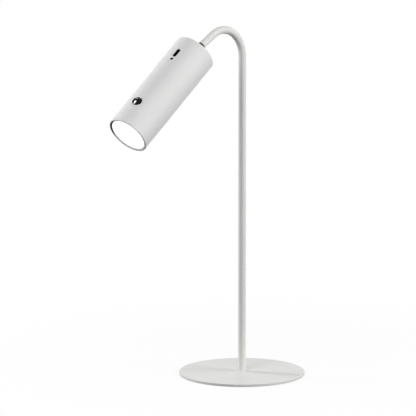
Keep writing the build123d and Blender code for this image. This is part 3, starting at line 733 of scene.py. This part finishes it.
# Front ring: a flange flush in the housing, with a face that slopes in to the window, and a spigot with
# the shelf that the window lies on
ring = {
    "radius": 21.0,
    "window": 19.15,
    "drop": 0.673,
    "flange": 0.8,
    "rounding": 0.2,
    "flangeRounding": 0.06,
    "depth": 8.0,
    "spigot": 20.4,
    "shelf": 2.95,
    "shelfBore": 18.05,
    "steps": 240,
}


def makeFront():
    bezel = turned(
        "frontRing",
        headAxes,
        [
            (ring["drop"], ring["window"], roundings["medium"]),
            (0, ring["radius"], ring["rounding"]),
            (ring["flange"], ring["radius"], ring["flangeRounding"]),
            (ring["flange"], ring["spigot"], 0),
            (ring["depth"], ring["spigot"], roundings["small"]),
            (ring["depth"], ring["shelfBore"], roundings["small"]),
            (ring["shelf"], ring["shelfBore"], roundings["small"]),
            (ring["shelf"], ring["window"], 0),
        ],
        ring["steps"],
        arcSteps=head["arcSteps"],
    )
    fit(bezel, "head", "front_ring", "ring_chrome")
    pane = turned(
        "windowPane",
        headAxes,
        [
            (window["recess"], 0, 0),
            (window["recess"], window["radius"], window["edge"]),
            (window["recess"] + window["thickness"], window["radius"], window["edge"]),
            (window["recess"] + window["thickness"], 0, 0),
        ],
        window["steps"],
        closed=False,
    )
    fit(pane, "head", "diffuser", "opal_window")


# Rear cap with its two screws
rearCap = {"edge": 0.15}
capScrews = {
    "seat": 118.2,
    "head": 1.2,
    "headRadius": 2.2,
    "headRounding": 0.35,
    "shankRadius": 1.25,
    "tipRounding": 0.3,
    "length": 8.0,
    "circle": 14.2,
    "turn": 50.7,
    "lean": 0.5,
    "armHalf": 0.36,
    "armLength": 1.25,
    "recess": 0.8,
    "recessTaper": 0.75,
    "flatInside": 1.2,
    "steps": 96,
}


# A cross recess has arms of half width w and length l, so its edge lies at l / cos t on an arm's end and
# at w / sin t on its flank
def crossEdge(turn, armHalf, armLength):
    folded = np.abs((turn + math.pi / 4) % (math.pi / 2) - math.pi / 4)
    onEnd = np.tan(folded) <= armHalf / armLength
    return np.where(onEnd, armLength / np.cos(folded), armHalf / np.maximum(np.sin(folded), slack))


# A screw is turned, with the cross as the outline of its last rows
def screwGrid(axes, sizes):
    turn = np.linspace(0, 2 * math.pi, sizes["steps"], endpoint=False)
    outline = roundedOutline(
        [
            (-sizes["length"], 0, 0),
            (-sizes["length"], sizes["shankRadius"], sizes["tipRounding"]),
            (0, sizes["shankRadius"], 0),
            (0, sizes["headRadius"], roundings["fine"]),
            (sizes["head"], sizes["headRadius"], sizes["headRounding"]),
            (sizes["head"], sizes["flatInside"] * sizes["armLength"], 0),
        ],
        closed=False,
    )
    recess = crossEdge(turn, sizes["armHalf"], sizes["armLength"])
    floor = sizes["head"] - sizes["recess"]
    rows = [
        (sizes["head"], recess + supportStep),
        (sizes["head"] - supportStep, recess),
        (floor, sizes["recessTaper"] * recess),
        (floor, 0 * recess),
    ]
    columns = len(turn)
    station = np.vstack([np.repeat(outline[:, :1], columns, 1), [[row[0]] * columns for row in rows]])
    radius = np.vstack([np.repeat(outline[:, 1:], columns, 1), [row[1] for row in rows]])
    return placed(axes, station, radius * np.cos(turn), radius * np.sin(turn))


def makeRear():
    cap = softened("rearCap", "rear_cap", rearCap["edge"])
    fit(cap, "head", "rear_cap", "white_plastic")
    grids = []
    turn = math.radians(capScrews["turn"])
    for way in (-1, 1):
        offset = -buttonWay * math.cos(turn) + way * headAxes["side"] * math.sin(turn)
        origin = frontCentre + (rearward * capScrews["seat"] + offset * capScrews["circle"]) * mm
        up = unit(buttonWay + capScrews["lean"] * way * pinWay)
        grids.append(screwGrid(axesAt(origin, rearward, up), capScrews))
    rows, columns = grids[0].shape[:2]
    faces = gridFaces(rows, columns, False, True)
    quads = np.vstack([faces + index * rows * columns for index in range(len(grids))])
    screws = pieceFrom("capScrews", np.stack(grids), quads)
    fit(screws, "head", "cap_screws", "zinc_steel")


# Push button: a ring in the housing and a domed cap with a flange below the ring
button = {
    "ringRadius": 5.15,
    "ringBore": 4.25,
    "ringTop": 22.3,
    "ringBottom": 19.84,
    "ringRounding": 0.3,
    "radius": 4.15,
    "flangeRadius": 4.6,
    "flangeTop": 19.74,
    "flangeBottom": 18.94,
    "stemRadius": 1.5,
    "stemBottom": 17.2,
    "domeEdge": 22.4,
    "dome": 0.65,
    "domeRows": 24,
    "domeRounding": 0.12,
    "leanRise": 0.065,
    "leanInset": 0.2,
    "steps": 128,
}


def makeButton():
    origin = frontCentre + rearward * holes["button"]["station"] * mm
    buttonAxes = axesAt(origin, buttonWay, rearward)
    collar = turned(
        "buttonRing",
        buttonAxes,
        [
            (button["ringBottom"], button["ringBore"], roundings["fine"]),
            (button["ringBottom"], button["ringRadius"], roundings["fine"]),
            (button["ringTop"], button["ringRadius"], button["ringRounding"]),
            (button["ringTop"], button["ringBore"], button["ringRounding"]),
        ],
        button["steps"],
    )
    fit(collar, "head", "button_ring", "button_chrome")
    # The last corner only leads the edge's rounding to the dome, and is dropped with the row before it
    lower = roundedOutline(
        [
            (button["stemBottom"], 0, 0),
            (button["stemBottom"], button["stemRadius"], roundings["small"]),
            (button["flangeBottom"], button["stemRadius"], 0),
            (button["flangeBottom"], button["flangeRadius"], roundings["small"]),
            (button["flangeTop"], button["flangeRadius"], roundings["small"]),
            (button["flangeTop"], button["radius"], 0),
            (button["domeEdge"], button["radius"], button["domeRounding"]),
            (button["domeEdge"] + button["leanRise"], button["radius"] - button["leanInset"], 0),
        ],
        closed=False,
    )[:-2]
    # The dome is a cap of a large sphere: height = sqrt(sphere^2 - r^2) less its value at the edge
    sphere = (button["radius"] ** 2 + button["dome"] ** 2) / (2 * button["dome"])
    radius = np.linspace(button["radius"] - button["domeRounding"], 0, button["domeRows"])
    rise = np.sqrt(sphere**2 - radius**2) - (sphere - button["dome"])
    outline = np.vstack((lower, np.stack((button["domeEdge"] + rise, radius), -1)))
    grid = turnedGrid(buttonAxes, outline, button["steps"])
    cap = pieceFrom("buttonCap", grid, gridFaces(len(outline), button["steps"], False, True))
    fit(cap, "button", "button_cap", "button_chrome")


# Indicator: a dark light pipe with a flange under the housing and a softly domed end
indicator = {
    "radius": 1.5,
    "flangeRadius": 2.15,
    "flange": 0.7,
    "flangeTop": 20.337,
    "bottom": 14.3,
    "rounding": 0.2,
    "steps": 64,
}


def makeIndicator():
    origin = frontCentre + rearward * holes["indicator"]["station"] * mm
    flangeBottom = indicator["flangeTop"] - indicator["flange"]
    lens = turned(
        "indicatorLens",
        axesAt(origin, buttonWay, rearward),
        [
            (indicator["bottom"], 0, 0),
            (indicator["bottom"], indicator["radius"], roundings["fine"]),
            (flangeBottom, indicator["radius"], 0),
            (flangeBottom, indicator["flangeRadius"], roundings["fine"]),
            (indicator["flangeTop"], indicator["flangeRadius"], roundings["fine"]),
            (indicator["flangeTop"], indicator["radius"], 0),
            (head["radius"], indicator["radius"], indicator["rounding"]),
            (head["radius"], 0, 0),
        ],
        indicator["steps"],
        closed=False,
    )
    fit(lens, "head", "indicator_lens", "lens_black")


makeBase()
makeStem()
print("stand made")
makeNeck()
makeShell()
makeFront()
makeRear()
print("head made")
makeButton()
makeIndicator()
print("button and indicator made")

# Camera: the photograph's own place, found from the base's ellipse, the stem and the head
camera = {
    "place": (-2.6194, -2.4001, 0.7773),
    "turn": 46.935,
    "pitch": 9.631,
    "focalPixels": 3500.0,
    "framePixels": 416.0,
    "sensor": 36.0,
    "nearest": 0.1,
    "farthest": 50,
}


# Level directions to the camera's right and ahead of it
def levelWays():
    turn = math.radians(camera["turn"])
    return np.array((math.cos(turn), -math.sin(turn), 0)), np.array((math.sin(turn), math.cos(turn), 0))


# Matrix with three directions as its columns, and a place
def matrixAt(across, above, backward, place):
    return Matrix(np.column_stack((across, above, backward, place)).tolist() + [(0, 0, 0, 1)])


def makeCamera():
    pitch = math.radians(camera["pitch"])
    right, level = levelWays()
    ahead = level * math.cos(pitch) - np.array((0, 0, math.sin(pitch)))
    lens = bpy.data.cameras.new("camera")
    lens.sensor_width = camera["sensor"]
    lens.lens = camera["sensor"] * camera["focalPixels"] / camera["framePixels"]
    lens.clip_start, lens.clip_end = camera["nearest"], camera["farthest"]
    seen = linked("camera", lens)
    seen.matrix_world = matrixAt(right, np.cross(right, ahead), -ahead, camera["place"])
    bpy.context.scene.camera = seen


# Lamps stand on a sphere about the object. Azimuth is measured from behind the camera, to its right,
# and roll turns a lamp about its own way. The wide ones give even light and the narrow ones the three
# faint shadows of the stem on the base, and both are kept out of the reflections. Two more light only
# the button, for the white streak and the grey far edge of its dome
lamps = {
    "wideBack": {"azimuth": -120, "elevation": 16, "size": (1.6, 1.0), "power": 3.5},
    "wideRight": {"azimuth": 90, "elevation": 16, "size": (1.6, 1.0), "power": 12.5},
    "wideFrontLeft": {"azimuth": -30, "elevation": 24, "size": (1.2, 1.2), "power": 3.8},
    "wideFront": {"azimuth": 0, "elevation": 30, "size": (1.2, 1.2), "power": 8.0},
    "narrowLeft": {"azimuth": -112, "elevation": 20, "size": (0.36, 0.7), "power": 18.0},
    "narrowRight": {"azimuth": 77, "elevation": 20, "size": (0.8, 0.7), "power": 12.0},
    "narrowFront": {"azimuth": -30, "elevation": 34, "size": (0.56, 0.7), "power": 6.0},
    "buttonStreak": {"azimuth": -91, "elevation": 52, "size": (0.26, 0.62), "power": 60.0, "roll": 40,
                     "only": ("buttonCap", "buttonRing")},
    "buttonEdge": {"azimuth": -167, "elevation": 47, "size": (0.7, 0.35), "power": 9.0,
                   "only": ("buttonCap", "buttonRing")},
}
lampSphere = {"centre": (-0.06, 0.0, 0.18), "radius": 1.6}
ground = {"middle": (0, 0), "size": (12.0, 12.0), "turn": 0, "height": 0, "seen": 0.96, "bounced": 0.06,
          "near": 0.1, "far": 0.5, "shadowShare": 0.12}
card = {"middle": (-0.145, 0.165), "size": (0.25, 0.12), "turn": 36.0, "height": 0.001, "tone": 0.01}
paperRoughness = 0.9


def makeLamps():
    right, level = levelWays()
    for name, lamp in lamps.items():
        azimuth, elevation = math.radians(lamp["azimuth"]), math.radians(lamp["elevation"])
        roll = math.radians(lamp.get("roll", 0))
        flat = right * math.sin(azimuth) - level * math.cos(azimuth)
        backward = unit(flat * math.cos(elevation) + np.array((0, 0, math.sin(elevation))))
        across = unit(np.cross((0, 0, 1), backward))
        above = np.cross(backward, across)
        across, above = (
            across * math.cos(roll) + above * math.sin(roll),
            above * math.cos(roll) - across * math.sin(roll),
        )
        light = bpy.data.lights.new(name, "AREA")
        light.shape = "RECTANGLE"
        light.size, light.size_y = lamp["size"]
        light.energy = lamp["power"]
        holder = linked(name, light)
        place = np.array(lampSphere["centre"]) + backward * lampSphere["radius"]
        holder.matrix_world = matrixAt(across, above, backward, place)
        holder.visible_camera = False
        holder.visible_glossy = "only" in lamp
        if "only" in lamp:
            receivers = bpy.data.collections.new(name)
            for piece in lamp["only"]:
                receivers.objects.link(bpy.data.objects[piece])
            holder.light_linking.receiver_collection = receivers


# One for rays from the camera and for those that a mirror or glass sends on, nought for all others
def seenShare(tree):
    path = addNode(tree, "ShaderNodeLightPath")
    share = addMath(tree, "MAXIMUM", path.outputs["Is Camera Ray"], path.outputs["Is Glossy Ray"])
    return addMath(tree, "MAXIMUM", share, path.outputs["Is Transmission Ray"])


# The room is plain white where it is seen, mirrored or seen through, and gives no light elsewhere
def makeRoom():
    world = bpy.data.worlds.new("room")
    bpy.context.scene.world = world
    world.use_nodes = True
    background = world.node_tree.nodes["Background"]
    background.inputs["Color"].default_value = (1, 1, 1, 1)
    world.node_tree.links.new(seenShare(world.node_tree), background.inputs["Strength"])


# Flat sheet of matt paper. Its corners are middle + along * a + across * b, half its size each way
def makeSheet(name, paperName, sizes):
    turn = math.radians(sizes["turn"])
    along = np.array((math.cos(turn), math.sin(turn)))
    across = np.array((-math.sin(turn), math.cos(turn)))
    halves = np.array(((-1, -1), (1, -1), (1, 1), (-1, 1))) * np.array(sizes["size"]) / 2
    corners = np.array(sizes["middle"]) + halves[:, :1] * along + halves[:, 1:] * across
    mesh = bpy.data.meshes.new(name)
    mesh.from_pydata([(*corner, sizes["height"]) for corner in corners.tolist()], [], [(0, 1, 2, 3)])
    material = bpy.data.materials.new(paperName)
    material.use_nodes = True
    paper = material.node_tree.nodes["Principled BSDF"]
    paper.inputs["Roughness"].default_value = paperRoughness
    paper.inputs["Specular IOR Level"].default_value = 0.0
    mesh.materials.append(material)
    return linked(name, mesh), material, paper


# The ground looks like white paper but throws little light back up. Near the lamp it keeps part of the
# shadow, further off it is plain white. Its glow is only seen, so it isn't sampled as a light
def makeGround():
    plane, material, paper = makeSheet("ground", "whitePaper", ground)
    material.cycles.emission_sampling = "NONE"
    tree = material.node_tree
    glow = addNode(tree, "ShaderNodeEmission")
    toCamera = addNode(tree, "ShaderNodeLightPath").outputs["Is Camera Ray"]
    tone = addMath(tree, "MULTIPLY", toCamera, ground["seen"] - ground["bounced"])
    tree.links.new(addMath(tree, "ADD", tone, ground["bounced"]), paper.inputs["Base Color"])
    away = addNode(tree, "ShaderNodeVectorMath", operation="LENGTH")
    tree.links.new(addNode(tree, "ShaderNodeTexCoord").outputs["Object"], away.inputs[0])
    fade = addNode(tree, "ShaderNodeMapRange", interpolation_type="SMOOTHSTEP")
    tree.links.new(away.outputs["Value"], fade.inputs["Value"])
    fade.inputs["From Min"].default_value = ground["near"]
    fade.inputs["From Max"].default_value = ground["far"]
    fade.inputs["To Min"].default_value = 1 - ground["shadowShare"]
    fade.inputs["To Max"].default_value = 1.0
    blend = addNode(tree, "ShaderNodeMixShader")
    share = addMath(tree, "MULTIPLY", seenShare(tree), fade.outputs["Result"])
    for socket, source in zip(blend.inputs, (share, paper.outputs[0], glow.outputs[0])):
        tree.links.new(source, socket)
    tree.links.new(blend.outputs[0], tree.nodes["Material Output"].inputs["Surface"])


# Black card on the paper to the left of the lamp, which only mirrors see: it darkens one end of the
# ring
def makeCard():
    sheet, _, paper = makeSheet("blackCard", "blackPaper", card)
    paper.inputs["Base Color"].default_value = (card["tone"], card["tone"], card["tone"], 1)
    sheet.visible_camera = sheet.visible_diffuse = False
    sheet.visible_shadow = sheet.visible_transmission = False


makeCamera()
makeLamps()
makeRoom()
makeGround()
makeCard()
bpy.context.scene.view_settings.view_transform = "Standard"
print("camera, lamps and ground made")
